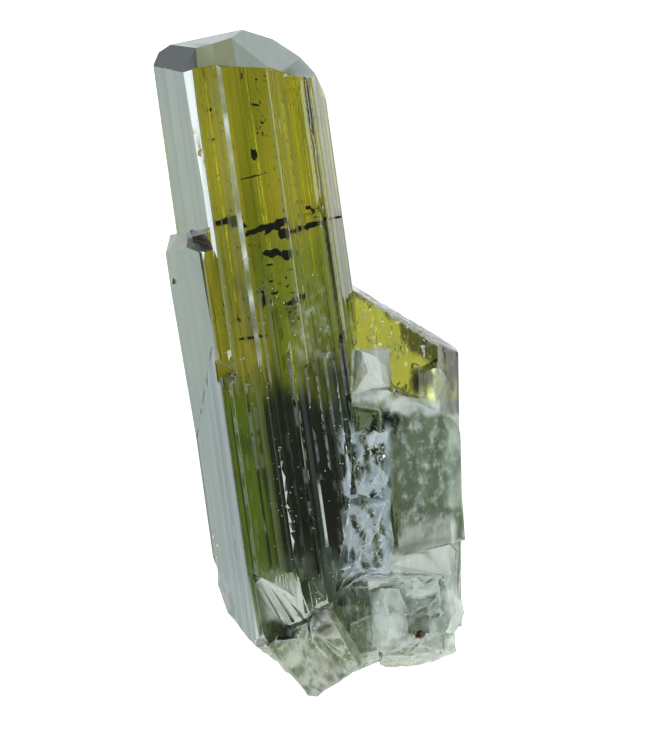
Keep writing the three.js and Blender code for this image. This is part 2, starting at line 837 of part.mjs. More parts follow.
const crystals = new THREE.Mesh(specimen(), epidoteGlass);
crystals.name = "epidote_crystals";
const grain = new THREE.Mesh(grainShape(grainRadius), rustGrain);
grain.name = "rust_grain";

// The origin is under the middle of the whole specimen, on the surface that it rests on.
const part = new THREE.Group();
part.add(crystals, grain);
const extent = new THREE.Box3().setFromObject(part);
const middle = extent.getCenter(new THREE.Vector3());
part.position.set(-middle.x, -middle.y, -extent.min.z);

export default part;
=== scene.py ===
import math
import random
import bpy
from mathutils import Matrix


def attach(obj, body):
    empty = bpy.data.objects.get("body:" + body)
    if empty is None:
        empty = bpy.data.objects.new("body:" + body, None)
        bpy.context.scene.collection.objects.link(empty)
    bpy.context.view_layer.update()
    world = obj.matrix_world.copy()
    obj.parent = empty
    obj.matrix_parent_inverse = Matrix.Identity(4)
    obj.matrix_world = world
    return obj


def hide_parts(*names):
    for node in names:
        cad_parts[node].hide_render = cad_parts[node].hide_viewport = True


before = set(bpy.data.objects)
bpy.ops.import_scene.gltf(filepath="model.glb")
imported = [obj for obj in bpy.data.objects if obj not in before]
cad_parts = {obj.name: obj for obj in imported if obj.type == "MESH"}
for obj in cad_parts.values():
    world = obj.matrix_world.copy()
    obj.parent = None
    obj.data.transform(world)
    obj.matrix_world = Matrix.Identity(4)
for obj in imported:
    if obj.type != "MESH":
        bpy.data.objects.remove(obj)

from types import SimpleNamespace

import bmesh
import bpy
from mathutils import Vector, noise

noise.seed_set(5)  # without a seed, the vector noise changes from run to run
mm = 0.001
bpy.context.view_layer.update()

# The specimen lies on its flat back, so the camera looks straight down on it, from far off.
cameraSettings = {"lens": 300, "middle": (1.195, -0.202), "height": 65.7, "focusHeight": 8}
# The floor lies a hair below the crystals, so that light leaves them through their backs
floorSettings = {"size": 3000, "height": -0.03, "colour": "#fbfcfd", "glow": 0.85}
lightSettings = {
    "sky": ("#d9e8ee", 0.17),
    # name: place in mm from the specimen, width and length in mm, brightness, colour
    "softboxes": {
        "leftBox": ((-260, 40, 190), (120, 320), 5.2, "#f1f6ff"),
        "rightBox": ((290, 60, 115), (90, 320), 2.4, "#fffdf6"),
        "topBox": ((150, 280, 150), (260, 120), 3.4, "#eef4ff"),
        "footBox": ((40, -320, 200), (260, 120), 5.0, "#ffffff"),
    },
}
crystalAxes = {
    # start in mm and lean in degrees: across, along and up are measured from there
    "main": {"start": (-4.25, 0.068), "lean": 8.0},
    "side": {"start": (0.07, 0.068), "lean": 0.8},
}
growthSettings = {
    # Growth lines lie about step mm apart across the crystal, and sink or rise by heights mm. Rows of points
    # cross them about every row mm. tilt is how far a growth face may turn from the crystal's own axis.
    "main": {
        "across": (-6.85, 8.95),
        "step": 0.24,
        "heights": (-0.022, 0.008),
        "deeper": ((-3, 1.0), (4.2, 0.3), (math.inf, 1.5)),  # up to each place across, times the height
        "along": (-19, 27.5),
        "row": 1.0,
        "tilt": 0.012,
        "seed": 3,
    },
    "side": {
        "across": (3.6, 13.5),
        "step": 0.27,
        "heights": (-0.033, 0.012),
        "deeper": ((math.inf, 1.0),),
        "along": (-16, 6),
        "row": 0.8,
        "tilt": 0.06,
        "seed": 5,
    },
}
growthLimits = {
    "jitter": (0.45, 1.55),  # of a step or a row
    "margin": (0.4, 0.6),  # mm past the first and the last line
    "mainCrystal": {"across": 8.2, "up": 7},  # left of this and higher, a face is the main crystal's
    "closest": 0.07,  # mm between a line and the edge of a band
    "onLine": 0.0005,  # mm from a line to a point that counts as on it
    "flatBelow": 0.3,  # mm up, under which nothing moves, so that the back stays flat
    "sameWay": 0.9,  # least cosine between the faces on both sides of a line
    "swell": 0.6,  # how much a line's height changes along it
}
tones = {
    "olive": "#818300",
    "gold": "#c1b22c",
    "moss": "#688019",
    "smoke": "#0c100c",
    # hollow: painted shade in hollows
    "hollow": "#191b12",
    # silverSheen: a painted reflection of the lamps on glossy faces, not the crystal's own colour
    "silverSheen": "#6b8487",
    # slateReflection: a painted dark reflection on the end's left faces
    "slateReflection": "#13242c",
    "sage": "#98a88e",
    "lime": "#818d34",
    "yellow": "#bdbb48",
    "plate": "#75846a",
    "brown": "#4c4a24",
    "cream": "#f0f7ea",
    # white: the own colour of pale broken places, and painted highlights on the bevel, on lines of the front
    # and on the root's lobe
    "white": "#f4fbf4",
    "frosted": "#dcebf1",
    "root": "#dbe8d6",
    "tip": "#9ba97c",
    "green": "#b3c298",
    # steel: a bluish-grey, used on the front's bands as a painted reflection on the ribs
    "steel": "#71878f",
    # notchShade: painted shade in the notch
    "notchShade": "#1c221a",
}
# long bands on the main crystal's front: tone, strength, across from-to, along from-to, in mm
frontBands = [
    # the silver band and the white line next to it are a painted sheen and a painted highlight where a facet
    # reflects the lamps
    ("silverSheen", 0.35, (-1.0, -0.42), (2, 26.5)),
    ("white", 0.6, (-0.42, -0.25), (0, 18)),
    ("sage", 0.6, (-2.45, -2.2), (-3, 12)),
    ("sage", 0.5, (3.75, 4.08), (0, 25)),
    ("lime", 0.7, (5.15, 5.5), (5, 25)),
    ("smoke", 0.5, (6.3, 6.7), (-6, 24)),
    ("lime", 0.7, (6.7, 7.2), (-1, 25)),
    ("smoke", 0.9, (7.2, 7.65), (-12, 26)),
    ("lime", 0.8, (7.65, 8.3), (-2, 25)),
    ("smoke", 0.7, (8.3, 8.6), (-12, 26)),
    # the steel bands are painted bluish-grey reflections on the ribs, and the white lines between them
    # painted glints
    ("steel", 0.35, (-1.0, -0.6), (-20, 0)),
    ("white", 0.9, (0.42, 0.58), (-18, -8)),
    ("steel", 0.45, (3.1, 3.3), (-22, 0)),
    ("white", 0.95, (3.3, 3.65), (-18, -10.5)),
    ("steel", 0.3, (5.6, 7.0), (-14, 0)),
]
# how much light each tone lets through and how rough it is; tones that aren't here have clearFinish
toneFinish = {
    "silverSheen": (0.35, 0.32),
    "slateReflection": (0.3, 0.6),
    "hollow": (0.3, 0.45),
    "notchShade": (0.6, 0.12),
    "sage": (0.5, 0.2),
    "lime": (0.7, 0.12),
    "steel": (0.4, 0.22),
    "plate": (0.5, 0.3),
    "cream": (0.12, 0.5),
    "white": (0.05, 0.5),
    "frosted": (0.1, 0.35),
    "root": (0.22, 0.3),
    "tip": (0.3, 0.25),
    "green": (0.3, 0.25),
}
clearFinish = (1.0, 0.03)
# patches beside the main crystal: tone, strength, left and right, lower and upper, and lowest height, in mm
patches = [
    ("yellow", 0.95, (4.2, 11.6), (-3.2, 7.2), 0),
    ("smoke", 0.88, (11.8, 14.0), (-6.5, 3.0), 0),
    ("green", 0.7, (12.9, 13.25), (-6.5, 2.0), 2),
    ("white", 0.97, (3.7, 7.5), (-4.4, 1.4), 6.4),
    # hollow patches, here and below, are painted shade in hollows
    ("hollow", 0.9, (9.0, 11.35), (-3.0, -0.4), 4),
    ("sage", 0.85, (11.3, 12.5), (-4.6, -0.4), 5),
    ("white", 0.85, (7.2, 12.0), (-4.9, -2.9), 6.3),
    ("plate", 0.97, (6.9, 14.2), (-17.4, -4.4), 2),
    ("root", 0.6, (12.2, 14.2), (-13.4, -4.4), 2),
    ("brown", 0.75, (6.9, 8.3), (-15.5, -4.6), 2),
    ("cream", 0.95, (8.2, 13.4), (-17.2, -13.7), 7.0),
    ("brown", 0.6, (3.4, 7.2), (-8.0, -3.4), 3),
    ("root", 0.97, (2.2, 14.4), (-28.5, -17.2), 0),
    ("cream", 0.95, (2.7, 12.9), (-20.4, -17.0), 7.2),
    ("steel", 0.3, (8.2, 13.4), (-19.6, -18.2), 6),
    ("hollow", 0.85, (2.5, 5.6), (-22.9, -20.5), 3),
    ("plate", 0.75, (8.4, 11.6), (-23.4, -20.8), 3),
    # a painted highlight on the root's smooth lobe
    ("white", 0.7, (5.8, 8.2), (-24.5, -22.5), 8),
    ("green", 0.8, (5.6, 14.4), (-28.5, -25.4), 0),
    ("tip", 0.95, (-9.2, 5.4), (-31, -19.2), 0),
    ("cream", 0.9, (-5.6, 0.4), (-23.3, -18.6), 7.6),
    ("sage", 0.7, (-5.6, -3.7), (-26.2, -19.2), 3),
    ("hollow", 0.85, (-3.8, -0.8), (-25.2, -23.0), 4),
    ("hollow", 0.75, (-0.2, 2.4), (-24.6, -20.5), 4),
]


def linear(text):
    # an sRGB hex colour as linear values with alpha
    parts = [int(text[i : i + 2], 16) / 255 for i in (1, 3, 5)]
    return [c / 12.92 if c <= 0.04045 else ((c + 0.055) / 1.055) ** 2.4 for c in parts] + [1.0]


def addNode(tree, kind, inputs=None, **settings):
    made = tree.nodes.new(kind)
    for name, value in settings.items():
        setattr(made, name, value)
    for key, value in (inputs or {}).items():
        if isinstance(value, bpy.types.NodeSocket):
            tree.links.new(value, made.inputs[key])
        else:
            made.inputs[key].default_value = value
    return made


def axesOf(name):
    axes = crystalAxes[name]
    lean = math.radians(axes["lean"])
    start = Vector((*axes["start"], 0)) * mm
    return start, Vector((math.cos(lean), math.sin(lean), 0)), Vector((-math.sin(lean), math.cos(lean), 0))


def inAxes(name, point):
    start, across, along = axesOf(name)
    return (point - start).dot(across) / mm, (point - start).dot(along) / mm, point.z / mm


# Camera, floor and lights
cameraData = bpy.data.cameras.new("camera")
cameraData.lens = cameraSettings["lens"]
camera = bpy.data.objects.new("camera", cameraData)
bpy.context.collection.objects.link(camera)
away = cameraSettings["height"] * cameraSettings["lens"] / cameraData.sensor_width
camera.location = Vector((*cameraSettings["middle"], away + cameraSettings["focusHeight"])) * mm
cameraData.clip_end = 10
bpy.context.scene.camera = camera

bpy.ops.object.select_all(action="DESELECT")
floorPlace = (0, 0, floorSettings["height"] * mm)
bpy.ops.mesh.primitive_plane_add(size=floorSettings["size"] * mm, location=floorPlace)
floor = bpy.context.object
floor.name = "floor"

# Matt white paper, glowing a little so that it stays even and pale right to the picture's edges
paper = bpy.data.materials.new("matt paper")
paper.use_nodes = True
tree = paper.node_tree
tree.nodes.clear()
surface = addNode(
    tree,
    "ShaderNodeBsdfPrincipled",
    {
        "Base Color": linear(floorSettings["colour"]),
        "Roughness": 0.9,
        "Emission Color": linear(floorSettings["colour"]),
        "Emission Strength": floorSettings["glow"],
    },
)
addNode(tree, "ShaderNodeOutputMaterial", {"Surface": surface.outputs["BSDF"]})
floor.data.materials.append(paper)

world = bpy.data.worlds.new("studio")
world.use_nodes = True
background = world.node_tree.nodes["Background"]
background.inputs["Color"].default_value = linear(lightSettings["sky"][0])
background.inputs["Strength"].default_value = lightSettings["sky"][1]
bpy.context.scene.world = world
for name, (place, size, brightness, colour) in lightSettings["softboxes"].items():
    light = bpy.data.lights.new(name, "AREA")
    light.shape = "RECTANGLE"
    light.size, light.size_y = size[0] * mm, size[1] * mm
    light.energy = brightness * math.pi * light.size * light.size_y  # so that its face has that radiance
    light.color = linear(colour)[:3]
    lamp = bpy.data.objects.new(name, light)
    lamp.location = Vector(place) * mm
    lamp.rotation_euler = lamp.location.to_track_quat("Z", "Y").to_euler()
    bpy.context.collection.objects.link(lamp)
bpy.context.scene.view_settings.view_transform = "Standard"
print("stage: camera, floor and lights are set")

# The crystals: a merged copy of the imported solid, cut along its growth lines
bpy.ops.object.select_all(action="DESELECT")
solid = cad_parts["epidote_crystals"]
crystals = bpy.data.objects.new("crystals", solid.data.copy())
bpy.context.collection.objects.link(crystals)
crystals.data.materials.clear()
bpy.context.view_layer.objects.active = crystals
crystals.select_set(True)
bpy.ops.object.mode_set(mode="EDIT")
bpy.ops.mesh.select_all(action="SELECT")
bpy.ops.mesh.remove_doubles(threshold=0.0004 * mm)
bpy.ops.mesh.dissolve_limited(angle_limit=math.radians(0.1))
print("stage: merged copy has", len(bmesh.from_edit_mesh(crystals.data).faces), "faces")


def isGrowthFace(name, face):
    # a face that runs along the crystal's own axis
    settings = growthSettings[name]
    middle = face.calc_center_median()
    across, along, up = inAxes(name, middle)
    first, last = settings["across"]
    before, after = growthLimits["margin"]
    if not first - before < across < last + after:
        return False
    mainLimit = growthLimits["mainCrystal"]
    if name == "side" and inAxes("main", middle)[0] < mainLimit["across"] and up > mainLimit["up"]:
        return False
    return abs(face.normal.dot(axesOf(name)[2])) < settings["tilt"]


def selectOnly(kind, wanted):
    # selects the faces or edges that wanted() picks, and nothing else
    bpy.ops.mesh.select_mode(type=kind)
    bpy.ops.mesh.select_all(action="DESELECT")
    shape = bmesh.from_edit_mesh(crystals.data)
    chosen = [part for part in (shape.faces if kind == "FACE" else shape.edges) if wanted(part)]
    for part in chosen:
        part.select_set(True)
    bmesh.update_edit_mesh(crystals.data)
    return len(chosen)


def bisectGrowthFaces(name, through, normal):
    selectOnly("FACE", lambda face: isGrowthFace(name, face))
    bpy.ops.mesh.bisect(plane_co=through, plane_no=normal)


def jittered(first, last, step, randomNumber):
    # places from first to last, a step apart more or less
    places = []
    at = first
    while at < last:
        places.append(at)
        at += step * randomNumber.uniform(*growthLimits["jitter"])
    return places


def valueUpTo(pairs, place):
    # the value of the first pair whose limit isn't passed
    return next(value for limit, value in pairs if place <= limit)


def growthLines(name):
    # cuts the growth faces into lines and rows, and moves each line a little in or out
    settings = growthSettings[name]
    randomNumber = random.Random(settings["seed"])
    start, across, along = axesOf(name)
    lines = jittered(*settings["across"], settings["step"], randomNumber)
    if name == "main":
        edges = sorted({edge for _, _, span, _ in frontBands for edge in span})
        lines = [at for at in lines if min(abs(at - edge) for edge in edges) > growthLimits["closest"]]
        lines = sorted(lines + edges)
    heights = [randomNumber.uniform(*settings["heights"]) for _ in lines]
    for at in lines:
        bisectGrowthFaces(name, start + across * at * mm, across)
    for at in jittered(*settings["along"], settings["row"], randomNumber):
        bisectGrowthFaces(name, start + along * at * mm, along)
    shape = bmesh.from_edit_mesh(crystals.data)
    moves = []
    for vertex in shape.verts:
        place, reach, up = inAxes(name, vertex.co)
        nearest = min(range(len(lines)), key=lambda i: abs(lines[i] - place))
        if abs(lines[nearest] - place) > growthLimits["onLine"] or up < growthLimits["flatBelow"]:
            continue
        sides = [f for f in vertex.link_faces if isGrowthFace(name, f)]
        if len(sides) < 2 or min(f.normal.dot(sides[0].normal) for f in sides) < growthLimits["sameWay"]:
            continue
        normal = sum((f.normal for f in sides), Vector()).normalized()
        swell = 1 + growthLimits["swell"] * noise.noise(Vector((nearest * 3.7, reach * 0.12, up * 0.05)))
        deeper = valueUpTo(settings["deeper"], place)
        moves.append((vertex, normal * heights[nearest] * swell * deeper * mm))
    for vertex, move in moves:
        vertex.co += move
    bmesh.update_edit_mesh(crystals.data)
    print("stage:", name, "crystal has", len(lines), "growth lines,", len(moves), "points moved")


growthLines("main")
growthLines("side")
bpy.ops.mesh.select_all(action="SELECT")
bpy.ops.mesh.quads_convert_to_tris()
print("stage: crystals have", len(bmesh.from_edit_mesh(crystals.data).faces), "faces")

# Broken places, split fine and roughened: their lowest and highest corner, longest edge, how rough they are
# and the grain of that, in mm
brokenPlaces = {
    "ridge": {"box": ((2.6, -19.6, 8.2), (7.6, -5.6, 12)), "edge": 0.3, "rough": 0.3, "grain": 1.5},
    "window": {"box": ((4.0, -3.4, 0.2), (11.6, 6.6, 7.6)), "edge": 0.34, "rough": 0.13, "grain": 0.95},
    "chunk": {"box": ((3.6, -5.4, 7.0), (9.8, 1.0, 10.8)), "edge": 0.35, "rough": 0.12, "grain": 0.9},
    "root": {"box": ((2.2, -31, 0.3), (15, -18.6, 12)), "edge": 0.4, "rough": 0.15, "grain": 1.1},
    "tip": {"box": ((-6.5, -31, 0.3), (2.4, -22.6, 12)), "edge": 0.45, "rough": 0.1, "grain": 1.3},
}
breakSettings = {
    "rounds": 5,  # of splitting, at most
    "tooLong": 1.4,  # times the longest edge
    "fade": 0.5,  # mm from the side of a box to where it is as rough as inside
    "flatBelow": 0.2,  # mm up
    "smoothFace": {"across": -3.4, "along": -24.5},  # left of this and above it, nothing is broken
    "drawnOut": 0.6,  # how much the flakes are drawn out along y
    "flakes": (0.9, 2.1, 4, 1.0, 2.0),  # the ridged noise's roughness, step, octaves, offset and gain
    "middle": 1.6,  # of that noise's heights
}


def insideShare(point, box):
    # 0 outside, 1 well inside
    share = 1.0
    for value, low, high in zip(point / mm, *box):
        share = min(share, (value - low) / breakSettings["fade"], (high - value) / breakSettings["fade"])
    return max(0.0, min(1.0, share))


def isSmooth(point):
    # the main crystal's silky left face stays whole down to its foot
    across, along, up = inAxes("main", point)
    face = breakSettings["smoothFace"]
    return across < face["across"] and along > face["along"]


def isTooLong(edge, settings):
    middle = (edge.verts[0].co + edge.verts[1].co) / 2
    tooLong = edge.calc_length() > settings["edge"] * breakSettings["tooLong"] * mm
    return tooLong and insideShare(middle, settings["box"]) > 0 and not isSmooth(middle)


def roughen(settings):
    # splits the place until its edges are short, then moves its points by a ridged noise
    for _ in range(breakSettings["rounds"]):
        if not selectOnly("EDGE", lambda edge: isTooLong(edge, settings)):
            break
        bpy.ops.mesh.subdivide(number_cuts=1)
        bpy.ops.mesh.select_all(action="SELECT")
        bpy.ops.mesh.quads_convert_to_tris()
    shape = bmesh.from_edit_mesh(crystals.data)
    shape.normal_update()
    moves = []
    for vertex in shape.verts:
        share = insideShare(vertex.co, settings["box"])
        if share <= 0 or isSmooth(vertex.co) or vertex.co.z < breakSettings["flatBelow"] * mm:
            continue
        point = Vector((vertex.co.x, vertex.co.y * breakSettings["drawnOut"], vertex.co.z))
        point /= settings["grain"] * mm
        height = noise.ridged_multi_fractal(point, *breakSettings["flakes"]) - breakSettings["middle"]
        moves.append((vertex, vertex.normal * height * settings["rough"] * share * mm))
    for vertex, move in moves:
        vertex.co += move
    bmesh.update_edit_mesh(crystals.data)


for name, settings in brokenPlaces.items():
    roughen(settings)
    print("stage:", name, "roughened,", len(bmesh.from_edit_mesh(crystals.data).faces), "faces")
bpy.ops.object.mode_set(mode="OBJECT")


def smoothStep(value, low, high):
    t = max(0.0, min(1.0, (value - low) / (high - low)))
    return t * t * (3 - 2 * t)


# The finish of every corner is a tone with layers over it, and how clear, rough and cloudy it is
linearTones = {name: Vector(linear(text)[:3]) for name, text in tones.items()}
everywhere = (-math.inf, math.inf)
mainCrystal = {
    # where the main crystal's own faces lie, in mm, and its foot: up to each place across, how low it goes
    "across": (-7.6, 9.15),
    "foot": ((-3.4, -25.5), (0.7, -19.5), (math.inf, -22.8)),
    # right of this place across, only faces left of x are its own
    "hidden": {"across": 6.6, "x": 3.7},
}
mainFaces = {
    # from-to across and along and lowest place up in mm, greatest tilt to the right, least turn to the end
    "end": {"along": (22, math.inf), "turn": 0.25},
    "step": {"across": (-math.inf, -2.3), "along": (9.8, 13.2), "turn": 0.1},
    "left": {"up": 3.5, "tilt": -0.84},
    "bevel": {"across": (-math.inf, -2), "along": (10, math.inf), "up": 8, "tilt": -0.6},
    "strip": {"across": (-1, 1), "along": (0, math.inf), "up": 10, "tilt": -0.6},
}
# the end's faces get a painted silver reflection on the right and steep ones, and a painted dark reflection
# on the left ones
endSettings = {"steep": 0.4, "slateLeftOf": -2, "silverRightOf": 1.2}
# painted shade in the notch of the step, growing toward its right
notchShadeSettings = {"strength": 0.97, "across": (-5.4, -5.1)}
# the strip's painted silver sheen and its broken painted white highlight
stripSettings = {"silverSheen": 0.6, "white": 0.9, "breaks": 0.45, "broken": (-0.1, 0.15)}
oliveSettings = {
    # gold over olive: its share, its long drifts and its rise to the right; the foot is darker
    "gold": 0.4,
    "drift": 0.7,
    "rise": 0.55,
    "rising": (3, 7),
    "dark": 0.84,
    "lightening": (6, 19),
}
frontShading = {
    # from where it starts to where it is full, in mm across and along, its strength and how wavy its edge is
    "moss": {"across": (-0.2, -1.2), "along": (0, -4), "strength": 0.95},
    "shade": {"across": (0, 1.5), "along": (13, 9), "strength": 0.6, "wavy": 3},
    "dusk": {"along": (14, 4), "strength": 0.5, "spots": (0.1, 0.45)},
    # smoke toward the foot: the glass's own smoky colour with painted shade, where the broken base lets
    # little light through from behind
    "smoke": {"along": (0.5, -5), "strength": 0.97, "wavy": 5, "lessInMoss": 0.84},
    "foot": {"along": (-16.5, -20), "strength": 0.5},
}
bandSettings = {"lowest": 2, "fade": 2, "uneven": 0.4}
silkySettings = {"tilt": (0.15, 0.6), "left": 0.55, "right": 0.15, "wholeAbove": (-3, 0), "spots": (0.0, 0.3)}
sideSettings = {
    # tone of the side crystals above each place in y, and the ragged edges of their patches, in mm
    "base": (("yellow", -3.4), ("plate", -17), ("tip", -math.inf)),
    "ragged": {"size": 1.1, "depth": 0.35, "fade": 0.35, "uneven": 0.3},
    # the smoky band below the slanting top: the top's place and slope, and how deep the band goes
    "smokyTop": {"lowest": -6, "place": (4.2, 7.1), "slope": 0.625, "strength": 0.8, "fade": 0.3},
    "smokyDepth": ((8.2, 1.1), (math.inf, 3.0)),
}
# milky clouds: on each tone, and in the place low in the main crystal's window
veiled = {"plate": 0.75, "root": 0.75, "green": 0.5, "tip": 0.45, "white": 0.05, "brown": 0.3, "cream": 0.15}
veilSettings = {"strength": 0.6, "across": (2.4, 3.6), "rightmost": 6.6, "middle": 2.5, "reach": (5, 1.5)}
ridgeSettings = {
    # flakes of the crumbled ridge: their size in mm, and where they turn whiter
    "flake": (0.75, 1.8, 1.5),
    "smoke": 0.75,
    "frost": 0.95,
    "frosted": (-0.1, 0.06),
    "whiter": 0.25,
    "whitening": (-10, -13),
}
crestSettings = {"longest": 1.2, "angles": (0.6, 1.4), "strength": 0.75, "fewEdges": 3, "fewShare": 0.5}


def spotOf(face, point):
    # What the finish of one corner depends on: its face's place and turn, its own place, and two noises. The
    # wobble drifts over 2 mm across and 4 mm along, and the blotches are 1.4 mm wide.
    across, along, up = inAxes("main", face.center)
    reach = inAxes("main", point)[1]
    _, toRight, toEnd = axesOf("main")
    return SimpleNamespace(
        point=Vector(point),
        centre=face.center,
        across=across,
        along=along,
        up=up,
        reach=reach,
        tilt=face.normal.dot(toRight),
        turn=face.normal.dot(toEnd),
        facing=face.normal.z,
        wobble=noise.noise(Vector((across * 0.5, reach * 0.25, 4))),
        blotch=noise.noise(Vector(point) / (1.4 * mm)),
    )


def isOnMain(spot):
    left, right = mainCrystal["across"]
    hidden = mainCrystal["hidden"]
    inFront = spot.across < hidden["across"] or spot.centre.x < hidden["x"] * mm
    return left < spot.across < right and spot.along > valueUpTo(mainCrystal["foot"], spot.across) and inFront


def isOnFace(name, spot):
    face = mainFaces[name]
    left, right = face.get("across", everywhere)
    low, high = face.get("along", everywhere)
    inside = left < spot.across < right and low < spot.along < high and spot.up > face.get("up", -1)
    return inside and spot.tilt < face.get("tilt", 2) and abs(spot.turn) > face.get("turn", -1)


def oliveAt(spot):
    # olive to gold in long drifts, darker toward the foot
    settings = oliveSettings
    drift = noise.noise(Vector((spot.across * 0.45, spot.reach * 0.07, 9)))
    gold = settings["gold"] + settings["drift"] * drift
    gold += settings["rise"] * smoothStep(spot.across, *settings["rising"])
    tone = linearTones["olive"].lerp(linearTones["gold"], max(0.0, min(1.0, gold)))
    lighter = (1 - settings["dark"]) * smoothStep(spot.reach, *settings["lightening"])
    return tone * (settings["dark"] + lighter)


def endLayers(spot):
    # the chisel end: a painted silver reflection on its right and steep faces, a painted dark slate
    # reflection on its left ones
    if spot.facing < endSettings["steep"]:
        return [("silverSheen", 0.85)]
    if spot.across > endSettings["silverRightOf"]:
        return [("silverSheen", 0.95)]
    if spot.across < endSettings["slateLeftOf"]:
        return [("slateReflection", 1.0)]
    return [("slateReflection", 0.85), ("moss", 0.4)]


def shadeAt(name, spot):
    # how far a shade of the front has come in, up to its strength
    shade = frontShading[name]
    share = smoothStep(spot.reach + shade.get("wavy", 0) * spot.wobble, *shade["along"])
    if "across" in shade:
        share *= smoothStep(spot.across, *shade["across"])
    return shade["strength"] * share


def frontLayers(spot):
    # the clear front: shaded, mossy and smoky toward the foot, where the smoke is partly the glass's own
    # smoky colour and partly painted shade, with long bands over that, some of them painted reflections and
    # highlights
    moss = shadeAt("moss", spot)
    spots = noise.noise(Vector((spot.across * 0.8, spot.reach * 0.35, 21)))
    layers = [
        ("moss", max(moss, shadeAt("shade", spot))),
        ("smoke", shadeAt("dusk", spot) * smoothStep(spots, *frontShading["dusk"]["spots"])),
        ("smoke", shadeAt("smoke", spot) * (1 - frontShading["smoke"]["lessInMoss"] * moss)),
    ]
    ends = bandSettings["fade"]
    for name, strength, (left, right), (low, high) in frontBands:
        if left < spot.across < right and spot.up > bandSettings["lowest"]:
            fade = smoothStep(spot.reach, low, low + ends) * smoothStep(spot.reach, high, high - ends)
            layers.append((name, strength * fade * (1 + bandSettings["uneven"] * spot.wobble)))
    layers.append(("sage", shadeAt("foot", spot) * (0.5 + spot.blotch)))
    return layers


def mainLayers(spot):
    if isOnFace("end", spot):
        return endLayers(spot)
    # the step: a painted silver reflection, with painted shade in its notch
    if isOnFace("step", spot):
        notchShade = notchShadeSettings["strength"] * smoothStep(spot.across, *notchShadeSettings["across"])
        return [("silverSheen", 0.8), ("notchShade", notchShade)]
    # the left face: a painted silver reflection of the lamps at a grazing angle
    if isOnFace("left", spot):
        return [("silverSheen", 0.9 + 0.1 * spot.wobble)]
    # the bevel along the left front edge: a painted white glint, broken up in places
    if isOnFace("bevel", spot):
        return [("white", 1.0 if abs(spot.blotch) > 0.06 else 0.4)]
    # a narrow facet that shines: a painted silver sheen with a broken painted white highlight
    if isOnFace("strip", spot):
        settings = stripSettings
        breaks = noise.noise(Vector((1, spot.reach * settings["breaks"], 7)))
        white = settings["white"] * smoothStep(breaks, *settings["broken"])
        return [("silverSheen", settings["silverSheen"]), ("white", white)]
    return frontLayers(spot)


def sideLayersAndVeil(spot, veil):
    # the patches beside the main crystal with their ragged edges, and the smoky band below the slanting top
    ragged = sideSettings["ragged"]
    shift = noise.noise_vector(spot.point / (ragged["size"] * mm)) * ragged["depth"]
    x, y = spot.point.x / mm + shift.x, spot.point.y / mm + shift.y
    layers = []
    for name, strength, (left, right), (low, high), height in patches:
        if spot.centre.z / mm < height:
            continue
        share = smoothStep(min(x - left, right - x, y - low, high - y), 0, ragged["fade"])
        layers.append((name, strength * share * (1 + ragged["uneven"] * spot.blotch)))
        if name in veiled:
            veil += (veiled[name] - veil) * share
    top = sideSettings["smokyTop"]
    if spot.centre.y > top["lowest"] * mm:
        below = top["place"][1] - top["slope"] * (x - top["place"][0]) - y
        depth = valueUpTo(sideSettings["smokyDepth"], x)
        layers.append(("smoke", top["strength"] * smoothStep(below, depth, depth - top["fade"])))
    return layers, veil


def ridgeLayers(spot):
    # the crumbled ridge: dark glass under frosted flakes
    settings = ridgeSettings
    broken = insideShare(spot.point, brokenPlaces["ridge"]["box"])
    if broken == 0:
        return []
    flakes = noise.noise(Vector([value / size for value, size in zip(spot.point, settings["flake"])]) / mm)
    flakes += settings["whiter"] * smoothStep(spot.point.y / mm, *settings["whitening"])
    frost = settings["frost"] * broken * smoothStep(flakes, *settings["frosted"])
    return [("smoke", settings["smoke"] * broken), ("frosted", frost)]


def cloudAt(spot):
    # the milky place low in the main crystal's window
    settings = veilSettings
    if spot.across >= settings["rightmost"]:
        return 0.0
    near = smoothStep(abs(spot.reach - settings["middle"]), *settings["reach"])
    return settings["strength"] * smoothStep(spot.across, *settings["across"]) * near


def silkiness(spot):
    # how rough the silky growth steps are: those on the left are broken up toward the foot
    settings = silkySettings
    least, most = settings["tilt"]
    if not least < abs(spot.tilt) < most:
        return 0.0
    if spot.tilt > 0:
        return settings["right"]
    whole = smoothStep(spot.reach, *settings["wholeAbove"])
    return settings["left"] * max(whole, smoothStep(spot.blotch, *settings["spots"]))


def finishAt(spot):
    # the tone, clearness, roughness and cloudiness of one corner, and which crystal it is on
    veil = cloudAt(spot)
    if isOnMain(spot):
        owner = "main"
        tone = oliveAt(spot)
        layers = mainLayers(spot)
    else:
        owner = "side"
        tone = linearTones[next(name for name, low in sideSettings["base"] if spot.centre.y > low * mm)]
        layers, veil = sideLayersAndVeil(spot, veil)
    clear, rough = clearFinish
    for name, strength in layers + ridgeLayers(spot):
        strength = max(0.0, min(1.0, strength))
        tone = tone.lerp(linearTones[name], strength)
        toneClear, toneRough = toneFinish.get(name, clearFinish)
        clear += (toneClear - clear) * strength
        rough += (toneRough - rough) * strength
    if owner == "main":
        rough = max(rough, silkiness(spot))
    return tone, clear, rough, veil, owner


def crestsOf(mesh):
    # how convex the surface is at each point, from 0 to the crests' strength
    settings = crestSettings
    shape = bmesh.new()
    shape.from_mesh(mesh)
    crests = []
    for vertex in shape.verts:
        near = [edge for edge in vertex.link_edges if edge.calc_length() < settings["longest"] * mm]
        crest = max((edge.calc_face_angle_signed(0) for edge in near), default=0)
        crests.append(crest * (settings["fewShare"] if len(near) < settings["fewEdges"] else 1.0))
    shape.free()
    return [settings["strength"] * smoothStep(crest, *settings["angles"]) for crest in crests]


